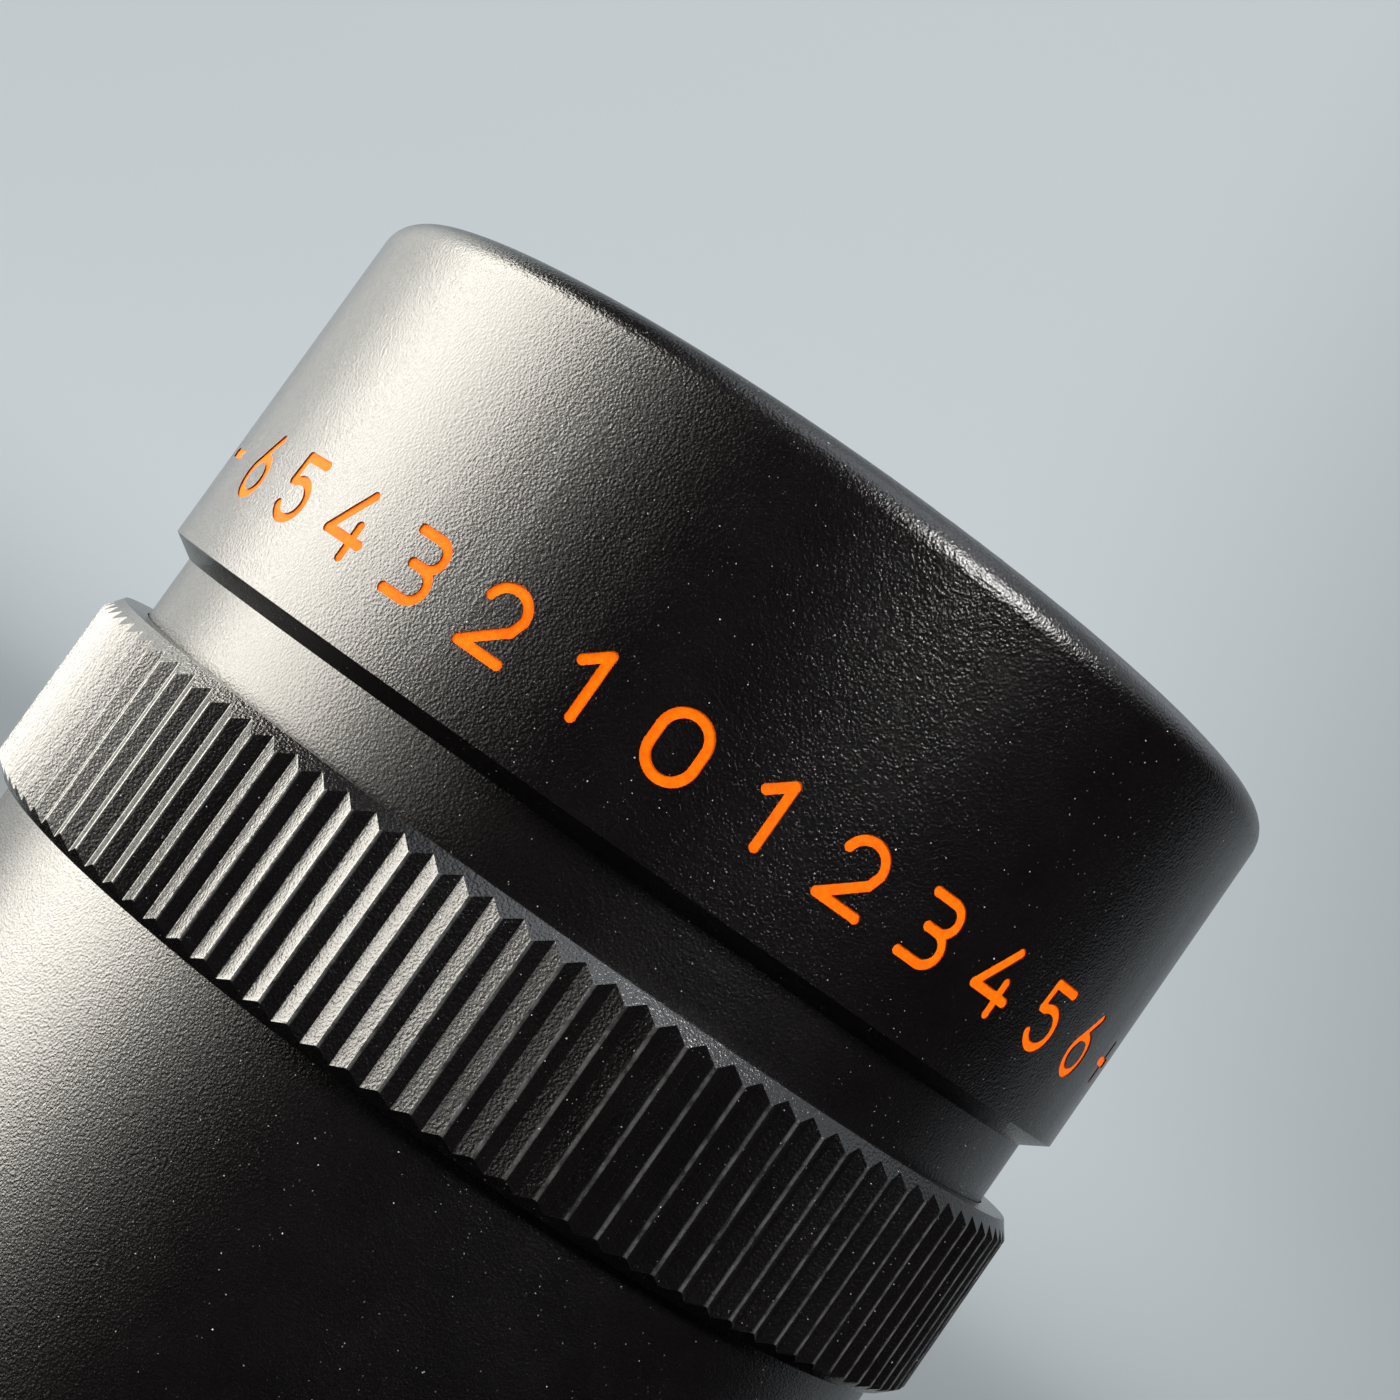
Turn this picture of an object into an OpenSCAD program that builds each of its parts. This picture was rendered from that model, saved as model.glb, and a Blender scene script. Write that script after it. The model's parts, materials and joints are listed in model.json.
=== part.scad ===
// Right-angle viewing finder for a camera eyepiece: slide-on shoe, swivelling
// prism housing, upright barrel, knurled focusing ring and sliding eyepiece.
// Frame: origin where the objective axis meets the front plane of the shoe's
// lips. +Y points at the camera, +Z runs up the eyepiece tube. Millimetres.

/* [Eyepiece cap] */
// Radius of the eyepiece cap
cap_r = 17; // [16.9:0.05:17.2]
// Height of the cap from its under edge to the top
cap_h = 12.73; // [12.5:0.05:13]
// Radius of the rounded top edge of the cap
cap_fillet = 1.05; // [0.8:0.05:1.2]
// Depth of the engraved dial marks
mark_depth = 0.16; // [0.1:0.01:0.2]
// Height of the engraved dial numbers, between stroke centres
mark_h = 1.92; // [1.6:0.02:2.1]
// Width of an engraved stroke
mark_w = 0.31; // [0.24:0.01:0.34]

/* [Neck and focusing ring] */
// Radius of the neck between the cap and the ring
neck_r = 16.2; // [16.1:0.05:16.25]
// Length of neck that shows at rest
neck_show = 2.15; // [2.1:0.05:2.6]
// Radius over the ridges of the focusing ring
ring_r = 17.5; // [17.4:0.05:17.7]
// Depth of the ring's V grooves
groove_d = 0.23; // [0.2:0.01:0.35]
// Number of ridges round the ring
ridges = 111; // [96:1:120]
// Height of the focusing ring
ring_h = 6.4; // [6.2:0.05:6.6]

/* [Barrel and housing] */
// Outer radius of the barrel
barrel_r = 16.6; // [16.55:0.05:16.8]
// Length of barrel that shows above the housing collar
barrel_show = 28.65; // [28.5:0.05:32]
// Half width of the prism housing
house_x = 15.5; // [15.3:0.1:16]
// Radius of the housing's upright corners
house_corner = 4; // [3:0.25:5]

/* [Shoe] */
// Width of the shoe plate
shoe_w = 27; // [26.5:0.5:29]
// Height of the shoe plate
shoe_h = 25; // [24.5:0.5:27]
// Width between the rails, for the camera's eyepiece flange
rail_gap = 22; // [21.5:0.1:22.2]
// Width between the lips, in front of the camera's flange
lip_gap = 19.6; // [19:0.1:20]

/* [Hidden] */
$fn = 96;
e = 0.01;
collar_top = 18;
reach = 28.9;
ring_z0 = collar_top + barrel_show + 0.08;
ring_z1 = ring_z0 + ring_h;
cap_z0 = ring_z1 + neck_show;
cap_z1 = cap_z0 + cap_h;
cap_chamfer = 0.5;
cap_bore = 15.2;
sleeve_top = cap_z1 - 2;
bore_r = 12;
front_y = 15.5;
back_y = -16.5;
top_z = 15;
bottom_z = -15.5;
bevel = 11;
skirt_r = 15.55;
thread_r = 14.85;
guide_r = 13.9;

// ---------- helpers ----------
module row() { translate([0, -reach, 0]) children(); }
// Turns +Z into +Y, for pieces on the objective axis, starting at y.
module on_y(y) { translate([0, y, 0]) rotate([-90, 0, 0]) children(); }
module tube(ro, ri, z0, z1) {
  difference() {
    translate([0, 0, z0]) cylinder(r = ro, h = z1 - z0);
    translate([0, 0, z0 - 1]) cylinder(r = ri, h = z1 - z0 + 2);
  }
}
module turned(points) { rotate_extrude() polygon(points); }
// Rounded upright block between two corners, drawn with true round corners.
module upright_block(x, y0, y1, z0, z1, r) {
  translate([0, 0, z0]) linear_extrude(z1 - z0) {
    translate([-x + r, y0]) square([2 * x - 2 * r, y1 - y0]);
    translate([-x, y0 + r]) square([2 * x, y1 - y0 - 2 * r]);
    for (sx = [-1, 1], yy = [y0 + r, y1 - r]) translate([sx * (x - r), yy]) circle(r = r);
  }
}
// Cross-slotted screw, head down at z = 0 pointing +Z, shank towards -Z.
module screw(head_r, head_h, shank_r, len) {
  difference() {
    union() {
      translate([0, 0, -head_h]) cylinder(r = head_r, h = head_h);
      translate([0, 0, -len]) cylinder(r = shank_r, h = len - head_h + e);
    }
    for (a = [0, 90]) rotate([0, 0, a + 20])
      translate([-head_r * 0.62, -head_r * 0.13, -head_h * 0.55]) cube([head_r * 1.24, head_r * 0.26, head_h]);
  }
}
// Flat-bottomed recess or hole for that screw.
module screw_hole(head_r, head_h, shank_r, len) {
  translate([0, 0, -head_h]) cylinder(r = head_r + 0.06, h = head_h + 1);
  translate([0, 0, -len - 0.1]) cylinder(r = shank_r + 0.04, h = len + 0.2);
}
// Lens: round disc of radius r from z0 to z1. rad0 and rad1 are the radii of
// its lower and upper faces; rad0 = 0 is flat, rad0 < 0 dishes the upper face.
module lens(r, z0, z1, rad0, rad1) {
  rotate_extrude() intersection() {
    translate([0, z0]) square([r, z1 - z0]);
    if (rad0 > 0) translate([0, z0 + rad0]) circle(r = rad0, $fn = 720);
    translate([0, z1 - rad1]) circle(r = rad1, $fn = 720);
  }
}
// Lens with a flat lower face and a dished upper face that reaches down to z1.
module dished(r, z0, z1, rim, rad) {
  rotate_extrude() difference() {
    translate([0, z0]) square([r, rim - z0]);
    translate([0, z1 + rad]) circle(r = rad, $fn = 720);
  }
}

// ---------- dial marks ----------
module dot(p) { translate(p) circle(r = mark_w / 2 * 1.05, $fn = 24); }
module line(p, q) {
  d = q - p;
  len = norm(d);
  translate((p + q) / 2) rotate(atan2(d[1], d[0])) square([len, mark_w], center = true);
  dot(p);
  dot(q);
}
module arc(c, r, a0, a1) {
  sweep = a1 - a0;
  gap = 360 - sweep;
  translate(c) rotate(a0) difference() {
    circle(r = r + mark_w / 2, $fn = 48);
    circle(r = r - mark_w / 2, $fn = 48);
    if (sweep < 181) translate([-3, -6]) square([6, 6]);
    if (sweep < 180) rotate(sweep) translate([-3, 0]) square([6, 6]);
    if (sweep > 181 && gap > 90) rotate(sweep) {
      square([6, 6]);
      rotate(gap - 90) square([6, 6]);
    }
    if (sweep > 181 && gap <= 90) rotate(sweep) intersection() {
      square([6, 6]);
      rotate(gap - 90) square([6, 6]);
    }
  }
  dot(c + r * [cos(a0), sin(a0)]);
  dot(c + r * [cos(a1), sin(a1)]);
}
module glyph(k) {
  h = mark_h / 2;
  if (k == 0) {
    arc([0, h - 0.7], 0.7, 0, 180);
    arc([0, -h + 0.7], 0.7, 180, 360);
    line([-0.7, h - 0.7], [-0.7, -h + 0.7]);
    line([0.7, h - 0.7], [0.7, -h + 0.7]);
  }
  if (k == 1) {
    line([0.2, h], [0.2, -h]);
    line([-0.42, h - 0.5], [0.2, h]);
  }
  if (k == 2) {
    arc([0, h - 0.6], 0.64, 0, 165);
    line([0.64, h - 0.6], [0.5, h - 1.0]);
    line([0.5, h - 1.0], [-0.68, -h]);
    line([-0.68, -h], [0.7, -h]);
  }
  if (k == 3) {
    arc([0.12, h - 0.46], 0.46, -90, 90);
    arc([0.1, -h + 0.5], 0.5, -90, 90);
    line([-0.6, h], [0.12, h]);
    line([-0.25, h - 0.92], [0.12, h - 0.92]);
    line([-0.64, -h], [0.1, -h]);
  }
  if (k == 4) {
    line([0.2, h], [-0.74, -h + 0.52]);
    line([-0.74, -h + 0.52], [0.74, -h + 0.52]);
    line([0.38, -h + 1.0], [0.38, -h]);
  }
  if (k == 5) {
    line([0.58, h], [-0.5, h]);
    line([-0.5, h], [-0.56, h - 0.8]);
    arc([0.02, -h + 0.6], 0.62, -150, 122);
    line([-0.56, h - 0.8], [-0.31, -h + 1.13]);
  }
  if (k == 6) {
    arc([0, -h + 0.6], 0.62, 0, 180);
    arc([0, -h + 0.6], 0.62, 180, 360);
    line([-0.58, -h + 0.82], [0.22, h]);
  }
  if (k == "minus") line([-0.6, 0], [0.6, 0]);
  if (k == "plus") {
    line([-0.6, 0], [0.6, 0]);
    line([0, -0.6], [0, 0.6]);
  }
}
// Dial marks: [angle from the front, mark]. One step is half a dioptre.
MARKS = concat(
  [for (k = [-6:6]) [10 * k, abs(k)]],
  [[-71, "minus"], [71, "plus"]]);
mark_z = cap_z0 + 0.5 + 3.04;
// Cutters for the dial marks, standing on the wall and reaching in to r0.
module mark_cutters(r0, r1) {
  for (m = MARKS) rotate([0, 0, m[0]]) translate([0, -r0, mark_z]) rotate([90, 0, 0])
    linear_extrude(r1 - r0) glyph(m[1]);
}

// ---------- shoe, the fixed part ----------
module shoe_plate() {
  color("#1b1b1d") row() difference() {
    union() {
      // back plate, rails and lips
      translate([-shoe_w / 2, 22.7, -shoe_h / 2]) cube([shoe_w, 3, shoe_h]);
      for (s = [-1, 1]) {
        translate([s > 0 ? rail_gap / 2 : -shoe_w / 2, 25.7 - e, -shoe_h / 2])
          cube([(shoe_w - rail_gap) / 2, 2 + e, shoe_h]);
        translate([s > 0 ? lip_gap / 2 : -shoe_w / 2, 27.7 - e, -shoe_h / 2])
          cube([(shoe_w - lip_gap) / 2, 1.2 + e, shoe_h]);
      }
      // closed top that stops the shoe on the camera's flange
      translate([-shoe_w / 2, 25.7 - e, shoe_h / 2 - 2]) cube([shoe_w, 3.2 + e, 2]);
    }
    // light path and window seat
    on_y(22) cylinder(r = 7.6, h = 6);
    on_y(24.2) cylinder(r = 8.6, h = 3);
    // screws from the front into the swivel flange
    for (sx = [-1, 1], sz = [-1, 1]) translate([sx * 9.3, 25.7, sz * 9.3]) rotate([-90, 0, 0])
      screw_hole(1.0, 0.6, 0.5, 4.2);
    // spring seats
    for (s = [-1, 1]) translate([s * 10.2, 25.7, -1]) rotate([90, 0, 0]) translate([0, 0, -0.1]) cylinder(r = 0.4, h = 1.3, $fn = 24);
    // broken outer corners
    for (sx = [-1, 1], sz = [-1, 1]) translate([sx * shoe_w / 2, 26, sz * shoe_h / 2])
      rotate([0, 45, 0]) cube([1.6, 10, 1.6], center = true);
  }
}
module swivel_flange() {
  color("#202022") row() difference() {
    on_y(18.2) union() {
      turned([[0, 0], [13.6, 0], [14.2, 0.6], [14.2, 4.0], [13.7, 4.5], [0, 4.5]]);
    }
    on_y(17) cylinder(r = 10.54, h = 8);
    on_y(21.0) cylinder(r = 12.1, h = 4);
    // track and stops for the click ball
    on_y(18.2) translate([0, 0, -1]) turned([[11.7, 0], [13.3, 0], [13.3, 1.5], [11.7, 1.5]]);
    for (a = [0:90:270]) rotate([0, a, 0]) translate([12.5, 18.2, 0]) rotate([-90, 0, 0]) cylinder(r = 0.6, h = 0.9, $fn = 32);
    for (sx = [-1, 1], sz = [-1, 1]) translate([sx * 9.3, 25.7, sz * 9.3]) rotate([-90, 0, 0])
      screw_hole(1.0, 0.6, 0.5, 4.2);
    // finger flutes round the rim
    for (a = [0:15:345]) rotate([0, a, 0]) translate([14.75, 20.2, 0]) rotate([90, 0, 0]) cylinder(r = 0.9, h = 2.2, center = true, $fn = 32);
  }
}
module shoe_screws() {
  color("#2a2a2c") row() for (sx = [-1, 1], sz = [-1, 1])
    translate([sx * 9.3, 25.7, sz * 9.3]) rotate([-90, 0, 0]) screw(1.0, 0.6, 0.5, 4.2);
}
// Leaf springs that press on the camera's flange from the rails' floor.
module shoe_spring() {
  color("#b9b6ac") row() for (s = [-1, 1]) difference() {
    translate([s * 10.2, 25.7, 0]) rotate([90, 0, 90]) translate([0, 0, -0.55]) linear_extrude(1.1)
      polygon([[0, -1.8], [0.14, -1.8], [0.14, -0.3], [0.62, 4.4], [0.50, 7.2], [0.36, 7.2], [0.48, 4.4], [0, -0.2]]);
    translate([s * 10.2, 25, -1]) rotate([-90, 0, 0]) cylinder(r = 0.4, h = 2, $fn = 24);
  }
}
module spring_rivets() {
  color("#c9b070") row() for (s = [-1, 1]) translate([s * 10.2, 25.7, -1]) rotate([-90, 0, 0]) {
    translate([0, 0, -1.0]) cylinder(r = 0.38, h = 1.2, $fn = 24);
    translate([0, 0, 0.16]) cylinder(r = 0.5, h = 0.16, $fn = 24);
  }
}
module window_glass() { color("#9fb6c8") row() on_y(24.22) cylinder(r = 8.55, h = 0.9); }
module window_ring() { color("#161617") row() on_y(25.14) tube(8.58, 7.7, 0, 0.5); }

// ---------- objective, in the swivelling housing ----------
module objective_tube() {
  color("#19191a") row() difference() {
    on_y(front_y) turned([
      [9.5, -2.5], [10.4, -2.5], [10.4, 0], [13.8, 0], [13.8, 2.1], [13.4, 2.5], [10.5, 2.5],
      [10.5, 7.0], [9.5, 7.0], [9.5, 1.5], [8.4, 1.5], [8.4, 0.5], [9.5, 0.5]]);
    for (a = [45:90:315]) rotate([0, a, 0]) translate([12.0, front_y + 2.5, 0]) rotate([-90, 0, 0])
      screw_hole(0.9, 0.7, 0.5, 4.6);
    translate([12.5, front_y + 0.8, 0]) rotate([-90, 0, 0]) cylinder(r = 0.72, h = 3, $fn = 32);
  }
}
module flange_screws() {
  color("#3a3a3c") row() for (a = [45:90:315]) rotate([0, a, 0])
    translate([12.0, front_y + 2.5, 0]) rotate([-90, 0, 0]) screw(0.9, 0.7, 0.5, 4.6);
}
module objective_crown() {
  color("#a8c4d0") row() on_y(front_y + 1.52) lens(9.45, 0.9, 4.0, 30, 38);
}
module objective_flint() {
  color("#98b8c8") row() on_y(front_y + 1.52) dished(9.45, 0, 0.88, 2.4, 30);
}
module objective_retainer() {
  color("#161617") row() difference() {
    on_y(front_y + 1.52) turned([[8.2, 3.14], [9.48, 2.84], [9.48, 5.3], [8.6, 5.3], [8.2, 4.9]]);
    for (s = [-1, 1]) translate([s * 8.9, front_y + 6.6, 0]) cube([2, 0.8, 0.8], center = true);
  }
}
module swivel_retainer() {
  color("#262628") row() difference() {
    on_y(front_y + 5.6) tube(11.75, 10.52, 0, 1.3);
    for (a = [0:90:270]) rotate([0, a, 0]) translate([11.75, front_y + 6.6, 0]) cube([1.4, 0.9, 1.2], center = true);
  }
}
module click_ball() { color("#c8ccd0") row() translate([12.5, front_y + 2.25, 0]) sphere(r = 0.68, $fn = 48); }
spring_turns = 4;
spring_pts = [for (i = [0:spring_turns * 14]) let(t = i / 14) [0.5 * cos(360 * t), 0.5 * sin(360 * t), 0.1 + 0.78 * t / spring_turns]];
module click_spring() {
  n = len(spring_pts);
  pts = [for (i = [0:n - 1]) let(p = spring_pts[i], a = 360 * i / 14)
    for (k = [0:5]) p + 0.07 * [cos(60 * k) * cos(a), cos(60 * k) * sin(a), sin(60 * k)]];
  faces = concat(
    [[for (k = [0:5]) k]],
    [for (i = [0:n - 2], k = [0:5]) [6 * i + k, 6 * (i + 1) + k, 6 * (i + 1) + (k + 1) % 6, 6 * i + (k + 1) % 6]],
    [[for (k = [5:-1:0]) 6 * (n - 1) + k]]);
  color("#b8bcc0") row() translate([12.5, front_y + 0.81, 0]) rotate([-90, 0, 0]) polyhedron(pts, faces);
}

// ---------- prism housing ----------
split_y = -6;
deck_z = 11;
edge = 1.2;
// Rounded rectangle between two corners.
module round_rect(x0, x1, y0, y1, r) {
  translate([x0 + r, y0]) square([x1 - x0 - 2 * r, y1 - y0]);
  translate([x0, y0 + r]) square([x1 - x0, y1 - y0 - 2 * r]);
  for (x = [x0 + r, x1 - r], y = [y0 + r, y1 - r]) translate([x, y]) circle(r = r);
}
// Outer shape shared by the housing and its rear cover.
module house_block() {
  intersection() {
    upright_block(house_x, back_y, front_y, bottom_z, top_z, house_corner);
    // rounded long edges, seen from the front
    translate([0, front_y + 1, 0]) rotate([90, 0, 0]) linear_extrude(front_y - back_y + 2)
      round_rect(-house_x, house_x, bottom_z, top_z, edge);
    // side outline with the slanted back corner
    rotate([90, 0, 90]) translate([0, 0, -house_x - 1]) linear_extrude(2 * house_x + 2) difference() {
      round_rect(back_y, front_y, bottom_z, top_z, edge);
      translate([back_y - 1, bottom_z - 1]) polygon([[0, 0], [bevel + 2, 0], [0, bevel + 2]]);
    }
  }
}
module chamber() {
  translate([-12, back_y + 2.2, bottom_z + 2.2]) cube([24, front_y - back_y - 4.7, 25.7]);
}
// Where the rear cover's screws stand: [x, z, y of the head's top, length].
COVER_SCREWS = [[13.5, 8, -14.2, 11.4], [13.5, -11.8, -8.6, 5.8]];
module at_cover_screws() {
  for (c = COVER_SCREWS, sx = [-1, 1]) translate([sx * c[0], c[2], c[1]]) rotate([90, 0, 0]) {
    $len = c[3];
    children();
  }
}
module prism_housing() {
  color("#1a1a1b") row() difference() {
    union() {
      house_block();
      turned([[0, 14.2], [15.2, 14.2], [17.3, 15.3], [17.3, collar_top - 0.4], [16.9, collar_top], [0, collar_top]]);
    }
    chamber();
    // back left open for the rear cover
    translate([-20, back_y - 1, bottom_z - 1]) cube([40, split_y - back_y + 1, deck_z - bottom_z + 1]);
    // barrel seat, light path up, objective seat
    translate([0, 0, 14.5]) cylinder(r = 15.5, h = 10);
    translate([0, 0, 10]) cylinder(r = 11.5, h = 10);
    on_y(front_y - 6) cylinder(r = 10.44, h = 10);
    for (a = [45:90:315]) rotate([0, a, 0]) translate([12.0, front_y + 2.5, 0]) rotate([-90, 0, 0])
      screw_hole(0.9, 0.7, 0.5, 4.6);
    // screws of the rear cover, the prism seat and the collar
    at_cover_screws() translate([0, 0, -$len - 0.1]) cylinder(r = 0.54, h = $len + 0.2, $fn = 48);
    for (s = [-1, 1]) translate([s * 8, 7, -15]) cylinder(r = 0.54, h = 4, $fn = 48);
    for (a = [30, 150, 270]) rotate([0, 0, a]) translate([14.5, 0, 16.4]) rotate([0, 90, 0]) cylinder(r = 0.74, h = 4, $fn = 48);
  }
}
module prism_cover() {
  color("#1b1b1c") row() difference() {
    intersection() {
      house_block();
      translate([-20, back_y - 1, bottom_z - 1]) cube([40, split_y - back_y + 0.98, deck_z - bottom_z + 0.98]);
    }
    // hollow that follows the slanted corner
    intersection() {
      translate([-12, back_y + 2.2, bottom_z + 2.2]) cube([24, 20, 30]);
      rotate([90, 0, 90]) translate([0, 0, -13]) linear_extrude(26)
        polygon([[back_y + bottom_z + bevel + 3 + 20, -20], [back_y + bottom_z + bevel + 3 - 20, 20], [20, 20], [20, -20]]);
    }
    at_cover_screws() {
      translate([0, 0, -$len - 0.1]) cylinder(r = 0.54, h = $len + 0.2, $fn = 48);
      translate([0, 0, -0.7]) cylinder(r = 1.06, h = 9, $fn = 48);
    }
  }
}
module cover_screws() {
  color("#2a2a2c") row() at_cover_screws() screw(1.0, 0.68, 0.5, $len);
}
// Roof prism: entry face towards the camera, exit face up, roof edge at the back.
module roof_prism() {
  color("#b4cdd8") row() intersection() {
    translate([-10.48, -10, -10]) cube([20.96, 20, 20]);
    rotate([45, 0, 0]) translate([0, 0, -30]) linear_extrude(60) polygon([[0, -5.5], [40, 34.5], [-40, 34.5]]);
  }
}
// Cradle for the prism: two cheeks joined by a web, standing on the floor.
module prism_seat() {
  color("#8d8f92") row() difference() {
    union() {
      for (s = [-1, 1]) translate([s > 0 ? 10.5 : -11.9, -9.5, bottom_z + 2.22]) cube([1.4, 19.5, 14]);
      translate([-11.9, -2.2, -11.2]) cube([23.8, 12.2, 1.18]);
      for (s = [-1, 1]) translate([s * 8, 7, bottom_z + 2.22]) cylinder(r = 1.6, h = 2.4);
    }
    // lower back corners cut clear of the slanted wall
    translate([0, back_y + bottom_z + bevel + 3.4 + 15, -15]) rotate([45, 0, 0]) translate([-15, -40, -30]) cube([30, 40, 60]);
    for (s = [-1, 1]) {
      translate([s * 8, 7, -10.08]) screw_hole(0.95, 0.5, 0.5, 4.9);
      for (y = [-3, 3]) translate([s * 11.2, y, -2.4]) cylinder(r = 0.34, h = 5, $fn = 32);
    }
  }
}
module seat_screws() {
  color("#77787a") row() for (s = [-1, 1]) translate([s * 8, 7, -10.07]) screw(0.95, 0.5, 0.5, 4.8);
}
// Two spring clips that press the prism down into its cradle.
clip_z = bottom_z + 16.22;
module prism_clips() {
  color("#b9b6ac") row() for (s = [0, 1]) mirror([s, 0, 0]) difference() {
    union() {
      translate([10.52, -4, clip_z + 0.01]) cube([1.4, 8, 0.3]);
      translate([10.52, -1.6, clip_z + 0.02]) cube([0.3, 3.2, 9.33 + top_z - 15]);
      translate([9.3, -1.6, 10.04]) cube([1.3, 3.2, 0.3]);
    }
    for (y = [-3, 3]) translate([11.2, y, clip_z - 1]) cylinder(r = 0.34, h = 3, $fn = 32);
  }
}
module clip_screws() {
  color("#77787a") row() for (s = [-1, 1], y = [-3, 3]) translate([s * 11.2, y, clip_z + 0.72]) screw(0.6, 0.4, 0.3, 3.0);
}

// ---------- barrel ----------
module barrel() {
  color("#1c1c1d") row() difference() {
    union() {
      translate([0, 0, collar_top + e]) cylinder(r = barrel_r, h = barrel_show - e);
      translate([0, 0, 14.5]) cylinder(r = 15.48, h = collar_top - 14.5 + 2 * e);
    }
    // light path, field stop seat, sleeve guide, ring seat and wire groove
    translate([0, 0, 10]) cylinder(r = 12.2, h = 60);
    for (a = [30, 150, 270]) rotate([0, 0, a]) translate([14.5, 0, 16.4]) rotate([0, 90, 0]) cylinder(r = 0.74, h = 3, $fn = 48);
    translate([0, 0, 28]) cylinder(r = guide_r + 0.05, h = 60);
    translate([0, 0, ring_z0 - 3.9]) cylinder(r = skirt_r + 0.05, h = 60);
    translate([0, 0, ring_z0 - 2.5]) cylinder(r = 15.95, h = 0.7);
    // guide screw, from the camera side
    translate([0, barrel_r - 4, 38]) rotate([-90, 0, 0]) cylinder(r = 0.9, h = 6, $fn = 48);
    translate([0, barrel_r - 0.95, 38]) rotate([-90, 0, 0]) cylinder(r = 1.55, h = 3, $fn = 48);
  }
}
// Slotted grub screws that hold the barrel in the housing's collar.
module collar_screws() {
  color("#3a3a3c") row() for (a = [30, 150, 270]) rotate([0, 0, a]) difference() {
    translate([14.6, 0, 16.4]) rotate([0, 90, 0]) cylinder(r = 0.7, h = 2.5, $fn = 48);
    translate([16.9, -1, 16.28]) cube([1, 2, 0.24]);
  }
}
module field_stop() {
  color("#121213") row() turned([[9.2, 28.6], [9.0, 28.3], [9.2, 28.02], [guide_r, 28.02], [guide_r, 29.4], [12.6, 29.4], [12.6, 28.6]]);
}
module guide_screw() {
  color("#77787a") row() difference() {
    union() {
      translate([0, barrel_r - 0.95, 38]) rotate([-90, 0, 0]) cylinder(r = 1.5, h = 0.85, $fn = 48);
      translate([0, barrel_r - 3.9, 38]) rotate([-90, 0, 0]) cylinder(r = 0.88, h = 3.0, $fn = 48);
    }
    translate([0, barrel_r, 38]) cube([3.4, 0.9, 0.35], center = true);
  }
}
// Open wire ring that keeps the focusing ring's skirt in the barrel.
module retaining_wire() {
  color("#8f9296") row() difference() {
    tube(15.93, 15.28, ring_z0 - 2.43, ring_z0 - 1.87);
    rotate([0, 0, 200]) translate([0, 0, ring_z0 - 4]) cube([20, 3, 6]);
  }
}

// ---------- focusing ring ----------
module knurl_outline() {
  step = 360 / ridges;
  root = ring_r - groove_d;
  polygon([for (i = [0:ridges - 1]) each [
    [root * cos((i - 0.5) * step + 0.05), root * sin((i - 0.5) * step + 0.05)],
    [ring_r * cos(i * step - 0.07), ring_r * sin(i * step - 0.07)],
    [ring_r * cos(i * step + 0.07), ring_r * sin(i * step + 0.07)],
    [root * cos((i + 0.5) * step - 0.05), root * sin((i + 0.5) * step - 0.05)]]]);
}
module diopter_ring() {
  color("#161617") row() difference() {
    union() {
      intersection() {
        translate([0, 0, ring_z0]) linear_extrude(ring_h) rotate(0.151) knurl_outline();
        turned([
          [0, ring_z0], [ring_r - 0.43, ring_z0], [ring_r + 0.05, ring_z0 + 0.48],
          [ring_r + 0.05, ring_z1 - 0.626], [ring_r - 0.397, ring_z1], [0, ring_z1]]);
      }
      translate([0, 0, ring_z0 - 3.7]) cylinder(r = skirt_r, h = 3.7 + e);
    }
    translate([0, 0, ring_z0 - 5]) cylinder(r = thread_r + 0.05, h = 20);
    translate([0, 0, ring_z0 + 1.9]) cylinder(r = neck_r + 0.05, h = 20);
    // groove for the retaining wire
    tube(skirt_r + 1, 15.2, ring_z0 - 2.55, ring_z0 - 1.75);
  }
}

// ---------- eyepiece, which slides ----------
shoulder_z = ring_z0 - 1.4;
fl0 = shoulder_z + 1;
module eyepiece_sleeve() {
  color("#1e1e20") row() difference() {
    union() {
      translate([0, 0, 32]) cylinder(r = guide_r, h = ring_z0 - 33.8);
      translate([0, 0, ring_z0 - 1.9]) cylinder(r = thread_r, h = 9);
      translate([0, 0, ring_z1 - 2.3]) cylinder(r = neck_r, h = cap_z0 - ring_z1 + 2.3);
      translate([0, 0, cap_z0 - e]) cylinder(r = cap_bore - 0.02, h = sleeve_top - cap_z0 + e);
    }
    translate([0, 0, 30]) cylinder(r = 12.7, h = shoulder_z - 30);
    translate([0, 0, 30]) cylinder(r = 10.3, h = 60);
    translate([0, 0, fl0]) cylinder(r = bore_r, h = 60);
    // keyway for the guide screw
    translate([-0.95, guide_r - 3, 35]) cube([1.9, 4, 6.2]);
  }
}
module eyepiece_cap() {
  f = cap_fillet;
  color("#18181a") row() difference() {
    turned([
      [10.6, sleeve_top + 0.02], [10.6, cap_z1 - 1.4], [12.6, cap_z1 - 0.9], [13.9, cap_z1], [cap_r, cap_z1],
      [cap_r, cap_z0 + cap_chamfer], [neck_r, cap_z0], [cap_bore, cap_z0], [cap_bore, sleeve_top + 0.02]]);
    // round the top edge
    rotate_extrude() difference() {
      translate([cap_r - f, cap_z1 - f]) square([f + 1, f + 1]);
      translate([cap_r - f, cap_z1 - f]) circle(r = f, $fn = 96);
    }
    mark_cutters(cap_r - mark_depth, cap_r + 1);
  }
}
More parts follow.
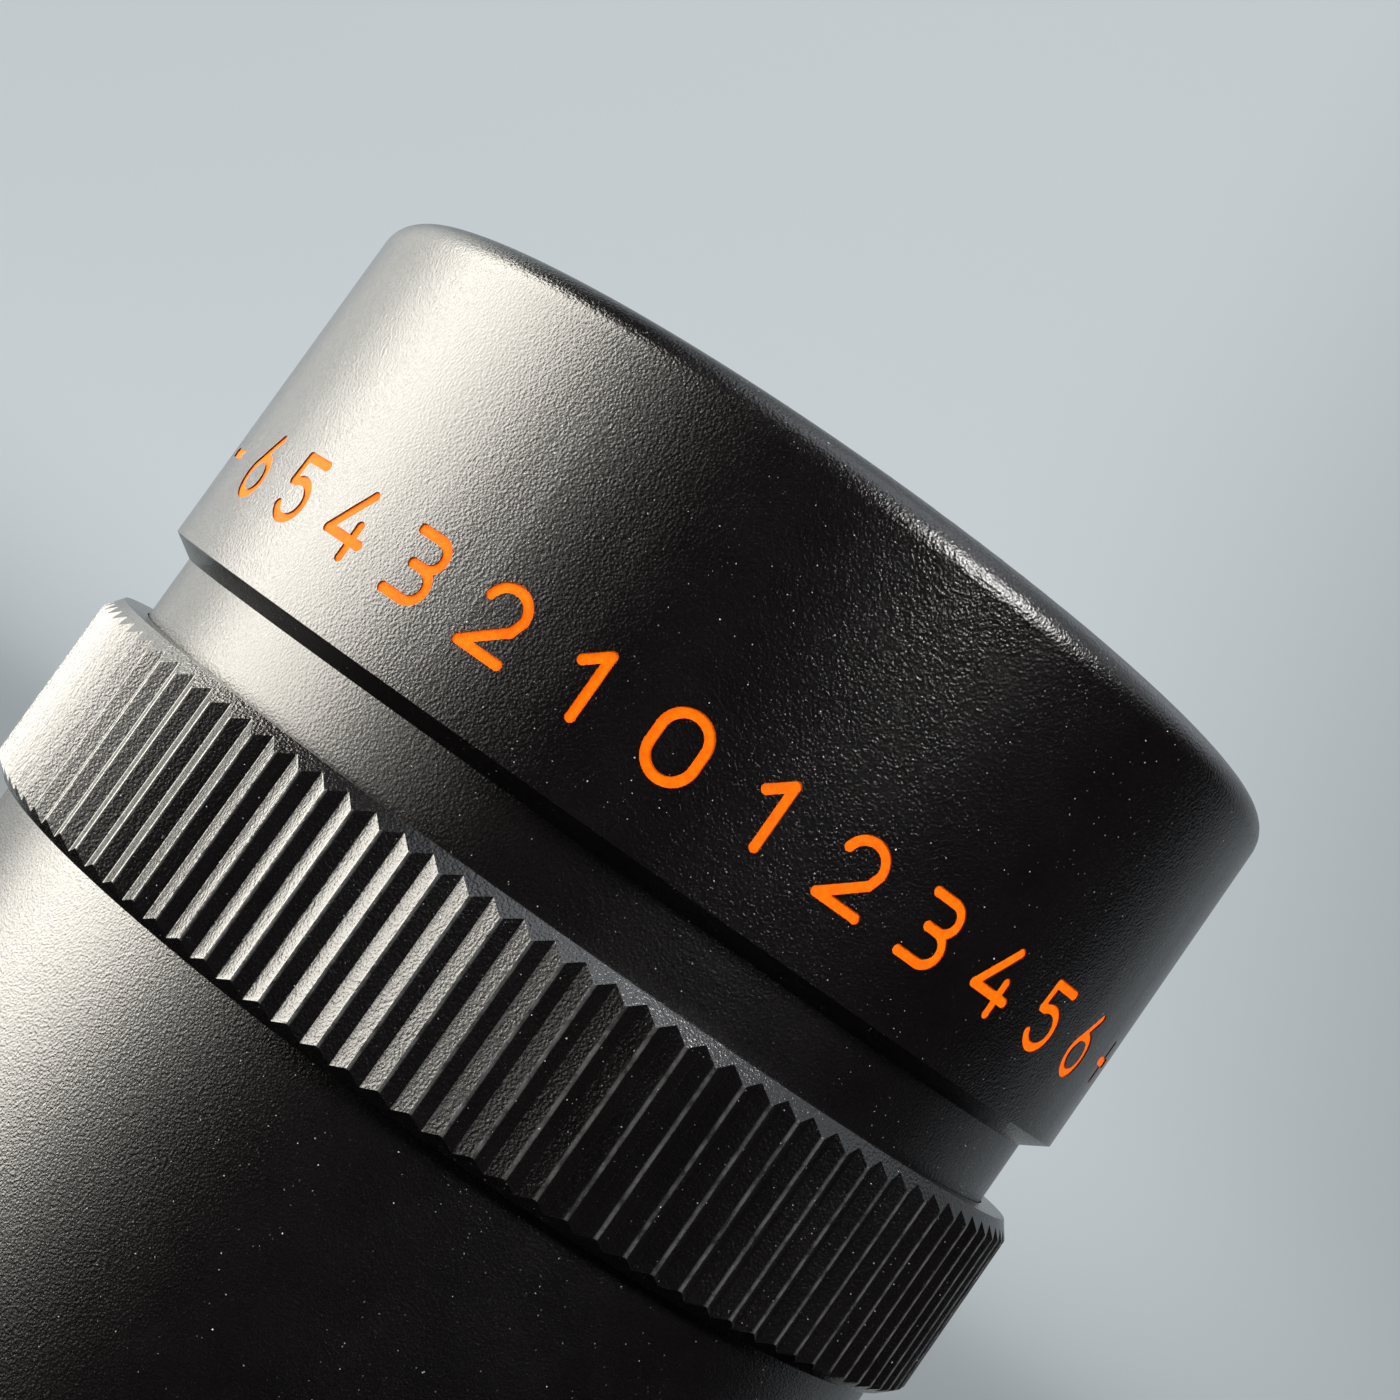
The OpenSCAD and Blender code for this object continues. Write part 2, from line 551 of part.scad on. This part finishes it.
// Paint that fills the engraved marks, a little below the wall.
module scale_paint() {
  color("#ff6a00") row() intersection() {
    mark_cutters(cap_r - mark_depth, cap_r - 0.02);
    translate([0, 0, mark_z - 3]) cylinder(r = cap_r - 0.05, h = 6, $fn = 900);
  }
}
module field_lens() {
  color("#a8c4d0") row() lens(bore_r - 0.02, fl0 + 0.01, fl0 + 3.8, 0, 24);
}
module field_lens_retainer() {
  color("#161617") row() difference() {
    translate([0, 0, fl0]) turned([[10.9, 1.23], [bore_r - 0.02, 0.64], [bore_r - 0.02, 4.9], [10.9, 4.9]]);
    for (a = [0, 180]) rotate([0, 0, a]) translate([10, -0.5, fl0 + 4.2]) cube([3, 1, 1.5]);
  }
}
spacer_z0 = fl0 + 4.92;
eye_z0 = cap_z1 - 10.2;
module lens_spacer() {
  color("#141415") row() turned([[11.0, spacer_z0], [bore_r - 0.02, spacer_z0], [bore_r - 0.02, eye_z0 - 0.02], [10.7, eye_z0 - 0.02], [11.3, (spacer_z0 + eye_z0) / 2]]);
}
module eye_lens_flint() {
  color("#98b8c8") row() translate([0, 0, eye_z0]) dished(bore_r - 0.02, 0, 0.88, 3.2, 32);
}
module eye_lens_crown() {
  color("#a8c4d0") row() translate([0, 0, eye_z0]) lens(bore_r - 0.02, 0.9, 6.0, 32, 34);
}
module eye_lens_retainer() {
  color("#161617") row() translate([0, 0, eye_z0]) difference() {
    turned([[10.75, 4.29], [bore_r - 0.02, 3.86], [bore_r - 0.02, 7.6], [11.3, 7.6], [10.75, 6.1]]);
    for (a = [90, 270]) rotate([0, 0, a]) translate([10.2, -0.5, 6.9]) cube([3, 1, 1.5]);
  }
}

shoe_plate();
swivel_flange();
shoe_screws();
shoe_spring();
spring_rivets();
window_glass();
window_ring();
objective_tube();
flange_screws();
objective_crown();
objective_flint();
objective_retainer();
swivel_retainer();
click_ball();
click_spring();
prism_housing();
roof_prism();
prism_seat();
seat_screws();
prism_clips();
clip_screws();
prism_cover();
cover_screws();
barrel();
collar_screws();
field_stop();
guide_screw();
retaining_wire();
diopter_ring();
eyepiece_sleeve();
eyepiece_cap();
scale_paint();
field_lens();
field_lens_retainer();
lens_spacer();
eye_lens_flint();
eye_lens_crown();
eye_lens_retainer();
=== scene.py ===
import json
import math
import random

import bpy
import bmesh
import numpy as np
from mathutils import Matrix, Vector


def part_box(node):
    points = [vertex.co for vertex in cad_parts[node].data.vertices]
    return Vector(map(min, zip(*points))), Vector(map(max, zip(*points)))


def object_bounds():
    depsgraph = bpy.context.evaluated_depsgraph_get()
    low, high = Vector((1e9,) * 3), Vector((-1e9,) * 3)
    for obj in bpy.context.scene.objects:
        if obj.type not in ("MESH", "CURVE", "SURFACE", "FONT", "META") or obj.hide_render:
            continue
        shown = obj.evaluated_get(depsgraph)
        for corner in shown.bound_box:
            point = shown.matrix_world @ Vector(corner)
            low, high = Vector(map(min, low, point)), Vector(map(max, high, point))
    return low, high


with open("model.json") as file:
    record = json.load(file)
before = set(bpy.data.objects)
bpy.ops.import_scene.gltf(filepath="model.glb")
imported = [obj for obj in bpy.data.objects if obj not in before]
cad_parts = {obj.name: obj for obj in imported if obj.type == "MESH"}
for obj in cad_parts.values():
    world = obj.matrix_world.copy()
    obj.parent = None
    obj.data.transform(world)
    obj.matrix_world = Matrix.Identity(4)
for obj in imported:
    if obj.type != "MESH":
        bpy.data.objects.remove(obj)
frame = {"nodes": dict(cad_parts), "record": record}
CAD_LOW, CAD_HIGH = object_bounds()
nodes = frame["nodes"]
scene = bpy.context.scene
scene.view_settings.view_transform = "Standard"
scene.view_settings.look = "None"

# ---------------------------------------------------------------- places
cap_lo, cap_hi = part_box("eyepiece_cap")
AX = Vector(((cap_lo.x + cap_hi.x) / 2, (cap_lo.y + cap_hi.y) / 2, 0.0))
R = (cap_hi.x - cap_lo.x) / 2
TOP = cap_hi.z


def at(deg, dist, z):
    """A point round the eyepiece axis. 0 degrees is the side that faces the camera, positive is to its right."""
    a = math.radians(deg)
    return Vector((AX.x + dist * math.sin(a), AX.y - dist * math.cos(a), z))


# ---------------------------------------------------------------- camera
def make_camera():
    pitch, yaw, twist, roll = 0.05256, -0.00345, 0.0041, math.radians(35)
    f = Vector((math.sin(yaw) * math.cos(pitch), math.cos(yaw) * math.cos(pitch), math.sin(pitch)))
    r = f.cross(Vector((0, 0, 1))).normalized()
    u = r.cross(f)
    r2 = r * math.cos(twist) + u * math.sin(twist)
    u2 = -r * math.sin(twist) + u * math.cos(twist)
    right = r2 * math.cos(roll) + u2 * math.sin(roll)
    up = -r2 * math.sin(roll) + u2 * math.cos(roll)
    data = bpy.data.cameras.new("camera")
    data.sensor_fit = "HORIZONTAL"
    data.sensor_width = 36.0
    data.lens = 2613.05 / 1400 * 36.0
    data.clip_start = 0.005
    data.clip_end = 20
    cam = bpy.data.objects.new("camera", data)
    scene.collection.objects.link(cam)
    m = Matrix((
        (right.x, up.x, -f.x, AX.x),
        (right.y, up.y, -f.y, AX.y - 5.00438 * R),
        (right.z, up.z, -f.z, TOP - 0.67215 * R),
        (0, 0, 0, 1)))
    cam.matrix_world = m
    scene.camera = cam
    return cam


make_camera()


# ---------------------------------------------------------------- node helpers
class Mat:
    """A small builder for node materials."""

    def __init__(self, name):
        self.m = bpy.data.materials.new(name)
        self.m.use_nodes = True
        self.t = self.m.node_tree
        self.b = self.t.nodes["Principled BSDF"]
        self.coord = self.t.nodes.new("ShaderNodeTexCoord").outputs["Object"]

    def set(self, **kw):
        for k, v in kw.items():
            self.b.inputs[k.replace("_", " ")].default_value = v
        return self

    def put(self, sock, value):
        if isinstance(value, bpy.types.NodeSocket):
            self.t.links.new(value, sock)
        elif value is not None:
            if hasattr(sock.default_value, "__len__") and not hasattr(value, "__len__"):
                value = [value] * len(sock.default_value)
            sock.default_value = value

    def noise(self, scale, detail=2.0, rough=0.5, vec=None, dist=0.0):
        n = self.t.nodes.new("ShaderNodeTexNoise")
        self.put(n.inputs["Vector"], vec or self.coord)
        n.inputs["Scale"].default_value = scale
        n.inputs["Detail"].default_value = detail
        n.inputs["Roughness"].default_value = rough
        n.inputs["Distortion"].default_value = dist
        return n.outputs["Fac"]

    def voronoi(self, scale, feature="F1", vec=None, out="Distance", rand=1.0):
        n = self.t.nodes.new("ShaderNodeTexVoronoi")
        n.feature = feature
        self.put(n.inputs["Vector"], vec or self.coord)
        n.inputs["Scale"].default_value = scale
        n.inputs["Randomness"].default_value = rand
        return n.outputs[out]

    def math(self, op, a, b=None, c=None, clamp=False):
        n = self.t.nodes.new("ShaderNodeMath")
        n.operation = op
        n.use_clamp = clamp
        for i, v in enumerate((a, b, c)):
            if v is not None:
                self.put(n.inputs[i], v)
        return n.outputs[0]

    def vmath(self, op, a, b=None, out=0):
        n = self.t.nodes.new("ShaderNodeVectorMath")
        n.operation = op
        self.put(n.inputs[0], a)
        if b is not None:
            if op == "SCALE":
                self.put(n.inputs["Scale"], b)
            else:
                self.put(n.inputs[1], b)
        return n.outputs[out]

    def ramp(self, v, a, b, lo=0.0, hi=1.0, smooth=False):
        n = self.t.nodes.new("ShaderNodeMapRange")
        if smooth:
            n.interpolation_type = "SMOOTHSTEP"
        self.put(n.inputs["Value"], v)
        for k, x in (("From Min", a), ("From Max", b), ("To Min", lo), ("To Max", hi)):
            n.inputs[k].default_value = x
        return n.outputs[0]

    def mix(self, fac, a, b):
        n = self.t.nodes.new("ShaderNodeMix")
        n.data_type = "RGBA"
        self.put(n.inputs["Factor"], fac)
        self.put(n.inputs[6], (*a, 1) if isinstance(a, tuple) and len(a) == 3 else a)
        self.put(n.inputs[7], (*b, 1) if isinstance(b, tuple) and len(b) == 3 else b)
        return n.outputs[2]

    def bump(self, height, dist, strength=1.0, normal=None):
        n = self.t.nodes.new("ShaderNodeBump")
        n.inputs["Strength"].default_value = strength
        n.inputs["Distance"].default_value = dist
        self.put(n.inputs["Height"], height)
        if normal is not None:
            self.put(n.inputs["Normal"], normal)
        return n.outputs[0]

    def radial(self, centre=None):
        """Distance from the eyepiece axis, and the height, as sockets."""
        v = self.vmath("SUBTRACT", self.coord, tuple(centre or AX))
        s = self.t.nodes.new("ShaderNodeSeparateXYZ")
        self.put(s.inputs[0], v)
        x, y, z = s.outputs
        r = self.math("SQRT", self.math("ADD", self.math("MULTIPLY", x, x), self.math("MULTIPLY", y, y)))
        return r, z, x, y


def painted_glint_specks(m, colour, amount, scale=5600):
    """Painted highlights: pale points 0.03 mm across, mixed into the base colour to stand in for the crests of the
    wrinkle catching the light.
    """
    d = m.voronoi(scale, "F1")
    c = m.voronoi(scale, "F1", out="Color")
    s = m.t.nodes.new("ShaderNodeSeparateColor")
    m.put(s.inputs[0], c)
    patch = m.ramp(m.noise(260, 2, 0.5), 0.35, 0.65, 0.6, 1.0)
    keep = m.math("LESS_THAN", s.outputs[0], m.math("MULTIPLY", patch, amount))
    near = m.ramp(d, 0.06, 0.13, 1.0, 0.0)
    b = m.math("POWER", s.outputs[1], 2.5)
    f = m.math("MULTIPLY", m.math("MULTIPLY", keep, near), b)
    # painted highlight: a pale grey glint colour mixed into the enamel's own colour
    return m.mix(f, colour, (0.36, 0.36, 0.35))


def dust(m, colour, rough, amount=0.5, scale=2600):
    """Fine pale specks of dust, 0.02 to 0.06 mm across."""
    d = m.voronoi(scale, "F1")
    c = m.voronoi(scale, "F1", out="Color")
    s = m.t.nodes.new("ShaderNodeSeparateColor")
    m.put(s.inputs[0], c)
    keep = m.math("LESS_THAN", s.outputs[0], amount)
    size = m.ramp(s.outputs[1], 0, 1, 0.02, 0.065)
    near = m.math("LESS_THAN", d, size)
    f = m.math("MULTIPLY", keep, near)
    grey = m.mix(s.outputs[2], (0.05, 0.05, 0.05), (0.5, 0.5, 0.48))
    col = m.mix(f, colour, grey)
    rg = m.math("MAXIMUM", rough, m.math("MULTIPLY", f, 0.8))
    return col, rg


def enamel(name, base=(0.0026, 0.0021, 0.0023), rough=0.20, grain=1.0, grain_scale=12300, dusty=0.5, painted_glint_amount=0.6, wear=None, spec=0.5):
    """Satin black enamel with a fine leather-like wrinkle, dust specks and painted glint highlights in its colour."""
    m = Mat(name)
    warp = m.noise(4500, 2, 0.5)
    v = m.vmath("ADD", m.coord, m.vmath("SCALE", m.vmath("MULTIPLY", (1, 1, 1), warp), 0.00006))
    cells = m.voronoi(grain_scale, "SMOOTH_F1", vec=v)
    fine = m.noise(grain_scale * 2.2, 2, 0.55, vec=v)
    broad = m.noise(500, 3, 0.55)
    h = m.math("ADD", m.math("MULTIPLY", cells, 1.0), m.math("MULTIPLY", fine, 0.5))
    rg = m.math("ADD", m.ramp(broad, 0.3, 0.7, -0.012, 0.012), m.ramp(fine, 0.3, 0.7, rough - 0.05, rough + 0.07))
    tint = m.mix(m.ramp(broad, 0.35, 0.65), tuple(c * 0.9 for c in base), tuple(c * 1.15 for c in base))
    # painted highlights: pale glint specks mixed into the base colour
    tint = painted_glint_specks(m, tint, painted_glint_amount)
    col, rg = dust(m, tint, rg, dusty)
    if wear:
        col, rg = wear(m, col, rg)
    m.put(m.b.inputs["Base Color"], col)
    m.put(m.b.inputs["Roughness"], rg)
    n1 = m.bump(h, 0.0000145 * grain)
    n2 = m.bump(broad, 0.000002, normal=n1)
    m.put(m.b.inputs["Normal"], n2)
    m.b.inputs["Specular IOR Level"].default_value = spec
    m.b.inputs["IOR"].default_value = 1.5
    return m.m


def steel(name, base, rough=0.3, scale=9000):
    m = Mat(name)
    n = m.noise(scale, 3, 0.6)
    b = m.noise(900, 2, 0.5)
    m.put(m.b.inputs["Base Color"], m.mix(m.ramp(b, 0.3, 0.7), tuple(c * 0.8 for c in base), base))
    m.put(m.b.inputs["Roughness"], m.ramp(n, 0.25, 0.75, rough - 0.08, rough + 0.1))
    m.put(m.b.inputs["Normal"], m.bump(n, 0.000003))
    m.b.inputs["Metallic"].default_value = 1.0
    return m.m


def glass(name, tint, coat=(0.5, 0.45, 0.9)):
    m = Mat(name)
    n = m.noise(300, 2, 0.5)
    m.put(m.b.inputs["Base Color"], m.mix(m.ramp(n, 0.3, 0.7), tint, tuple(c * 0.97 for c in tint)))
    m.put(m.b.inputs["Roughness"], m.ramp(m.noise(2500, 3, 0.6), 0.35, 0.75, 0.015, 0.05))
    m.b.inputs["Transmission Weight"].default_value = 1.0
    m.b.inputs["IOR"].default_value = 1.52
    m.b.inputs["Coat Weight"].default_value = 0.35
    m.b.inputs["Coat Roughness"].default_value = 0.02
    m.b.inputs["Coat Tint"].default_value = (*coat, 1)
    return m.m


def plain_black(name, rough=0.6, base=(0.008, 0.008, 0.0085)):
    m = Mat(name)
    r, z, x, y = m.radial()
    n = m.noise(5000, 3, 0.6)
    m.put(m.b.inputs["Base Color"], m.mix(m.ramp(n, 0.3, 0.7), base, tuple(c * 1.6 for c in base)))
    m.put(m.b.inputs["Roughness"], m.ramp(n, 0.3, 0.7, rough - 0.08, rough + 0.08))
    m.put(m.b.inputs["Normal"], m.bump(n, 0.000004))
    return m.m


def dress(node, mat):
    o = nodes[node]
    o.data.materials.clear()
    o.data.materials.append(mat)
    for p in o.data.polygons:
        p.material_index = 0
    return o


def ring_wear(m, col, rg):
    """Crests of the ridges rubbed to a greyer, smoother line."""
    r, z, x, y = m.radial()
    n = m.noise(2200, 3, 0.6)
    edge = m.ramp(r, 0.01746, 0.017495, 0, 1, smooth=True)
    patch = m.ramp(n, 0.35, 0.6, 0.25, 1.0)
    f = m.math("MULTIPLY", edge, patch)
    col = m.mix(m.math("MULTIPLY", f, 0.4), col, (0.14, 0.14, 0.137))
    rg = m.math("SUBTRACT", rg, m.math("MULTIPLY", f, 0.06))
    return col, rg


cap_paint = enamel("cap_enamel")
neck_paint = enamel("neck_enamel", rough=0.26, grain=0.8)
ring_paint = enamel("ring_enamel", rough=0.22, grain=0.9, wear=ring_wear, spec=0.65)
barrel_paint = enamel("barrel_enamel", rough=0.24, grain=0.85, grain_scale=14000, spec=0.68)
house_paint = enamel("housing_enamel", rough=0.3, grain=1.6, grain_scale=5200, dusty=0.2)
shoe_paint = enamel("shoe_enamel", rough=0.32, grain=1.0, dusty=0.2)
anodised = plain_black("anodised_black", 0.42, (0.012, 0.012, 0.0125))
inner = plain_black("inner_black", 0.65, (0.006, 0.006, 0.0065))
dark_steel = steel("blackened_steel", (0.10, 0.10, 0.105), 0.36)
bright = steel("bright_steel", (0.52, 0.52, 0.53), 0.28)
spring = steel("spring_steel", (0.56, 0.54, 0.5), 0.25)
brass = steel("brass", (0.72, 0.52, 0.24), 0.3)
alloy = steel("milled_alloy", (0.5, 0.5, 0.51), 0.4, 3000)
lens_mat = glass("lens_glass", (0.86, 0.92, 0.94))
eye_mat = glass("eye_glass", (0.8, 0.86, 0.93), (0.42, 0.4, 0.95))
window_mat = glass("window_glass_mat", (0.9, 0.94, 0.95), (0.4, 0.6, 0.9))


def orange_paint():
    m = Mat("orange_enamel")
    n = m.noise(5200, 3, 0.6)
    b = m.noise(900, 3, 0.6)
    c = m.mix(m.ramp(n, 0.3, 0.72), (0.86, 0.095, 0.0), (0.97, 0.14, 0.0))
    c = m.mix(m.ramp(b, 0.55, 0.75, 0, 0.45), c, (0.75, 0.055, 0.0))
    m.put(m.b.inputs["Base Color"], c)
    m.put(m.b.inputs["Roughness"], m.ramp(n, 0.3, 0.7, 0.45, 0.65))
    m.put(m.b.inputs["Normal"], m.bump(n, 0.000012))
    m.b.inputs["Specular IOR Level"].default_value = 0.05
    return m.m


SLOT_MATS = {
    "cap_paint": cap_paint, "neck_paint": neck_paint, "ring_paint": ring_paint, "barrel_paint": barrel_paint,
    "housing_paint": house_paint, "cover_paint": house_paint, "shoe_paint": shoe_paint, "flange_black": anodised,
    "tube_black": anodised, "inner_black": inner, "blackened_steel": dark_steel, "bright_steel": bright,
    "spring_steel": spring, "brass": brass, "seat_alloy": alloy, "lens_glass": lens_mat, "eye_glass": eye_mat,
    "prism_glass": lens_mat, "window_glass": window_mat, "scale_orange": orange_paint(),
}
for sp in frame["record"]["subparts"]:
    dress(sp["node"], SLOT_MATS[sp["material_slot"]])
dress("guide_screw", dark_steel)


# ---------------------------------------------------------------- floor and backdrop
def cyclorama():
    """A floor that sweeps up behind the object in one smooth curve; the sweep glows with painted light, brighter
    further back and darker towards the right.

    The floor in front of the object is left out of glossy reflections, as if it
    were shaded from the black enamel's front; the sweep behind it is reflected.
    """
    z0 = CAD_LOW[2] - 0.0005
    w, front, back, rad, high = 2.4, -1.3, 0.75, 0.9, 2.4
    curve = [(back, z0)]
    for i in range(1, 33):
        a = math.pi / 2 * i / 32
        curve.append((back + rad * math.sin(a), z0 + rad * (1 - math.cos(a))))
    curve.append((back + rad, z0 + high))
    m = Mat("backdrop_paper_painted_glow")
    n = m.noise(1.2, 2, 0.5)
    m.put(m.b.inputs["Base Color"], m.mix(m.ramp(n, 0.3, 0.7), (0.25, 0.265, 0.275), (0.27, 0.285, 0.295)))
    sep = m.t.nodes.new("ShaderNodeSeparateXYZ")
    m.put(sep.inputs[0], m.coord)
    # painted shade: the glow dims towards the right side, and very slightly at the far left
    side = m.math("MULTIPLY", m.ramp(sep.outputs[0], 0.05, 0.6, 1.0, 0.46, smooth=True), m.ramp(sep.outputs[0], -0.7, -0.1, 0.98, 1.0))
    painted_backdrop_glow = m.math("MULTIPLY", m.ramp(sep.outputs[1], 0.35, 1.15, 0.0, 1.0, smooth=True), side)
    m.put(m.b.inputs["Emission Color"], (0.895, 0.965, 1.0, 1))
    # painted light: the backdrop's emission, brighter further back up the sweep
    m.put(m.b.inputs["Emission Strength"], m.math("MULTIPLY", painted_backdrop_glow, 0.485))
    m.b.inputs["Roughness"].default_value = 0.9
    m.b.inputs["Specular IOR Level"].default_value = 0.1
    split = 0.12
    for name, pts, glossy in (("floor", [(front, z0), (split, z0)], False), ("backdrop", [(split, z0)] + curve, True)):
        me = bpy.data.meshes.new(name)
        vs, fs = [], []
        for y, z in pts:
            vs += [(-w, y, z), (w, y, z)]
        for i in range(len(pts) - 1):
            fs.append((2 * i, 2 * i + 1, 2 * i + 3, 2 * i + 2))
        me.from_pydata(vs, [], fs)
        for p in me.polygons:
            p.use_smooth = True
        o = bpy.data.objects.new(name, me)
        scene.collection.objects.link(o)
        me.materials.append(m.m)
        o.visible_glossy = glossy


cyclorama()


# ---------------------------------------------------------------- light
def area(name, where, target, size, power, colour, size_y=None):
    d = bpy.data.lights.new(name, "AREA")
    d.shape = "RECTANGLE"
    d.size = size
    d.size_y = size_y or size
    d.energy = power
    d.color = colour
    o = bpy.data.objects.new(name, d)
    o.location = where
    o.rotation_mode = "QUATERNION"
    o.rotation_quaternion = (Vector(target) - Vector(where)).to_track_quat("-Z", "Y")
    scene.collection.objects.link(o)
    return o


mid = Vector((AX.x, AX.y, 0.05))
area("window", at(-90, 0.50, 0.13), mid, 0.44, 10.8, (1.0, 0.96, 0.87), 0.5)
area("window_soft", at(-56, 0.50, 0.13), mid, 0.22, 0.75, (1.0, 0.97, 0.90), 0.5)
area("window_edge", at(-130, 0.50, 0.13), mid, 0.30, 0.8, (1.0, 0.98, 0.90), 0.5)
area("overhead", at(0, 0.13, 0.62), mid, 0.40, 0.9, (0.88, 0.94, 1.0))
area("ceiling", at(120, 0.22, 0.62), mid, 0.8, 1.7, (0.88, 0.94, 1.0))
area("lamp_right", at(36, 0.41, 0.36), mid, 0.17, 3.6, (1.0, 0.98, 0.96))

world = bpy.data.worlds.new("world")
scene.world = world
world.use_nodes = True
bg = world.node_tree.nodes["Background"]
bg.inputs["Color"].default_value = (0.72, 0.80, 0.86, 1)
bg.inputs["Strength"].default_value = 0.45
world.cycles_visibility.glossy = False  # the room lights the floor, but leaves the enamel black
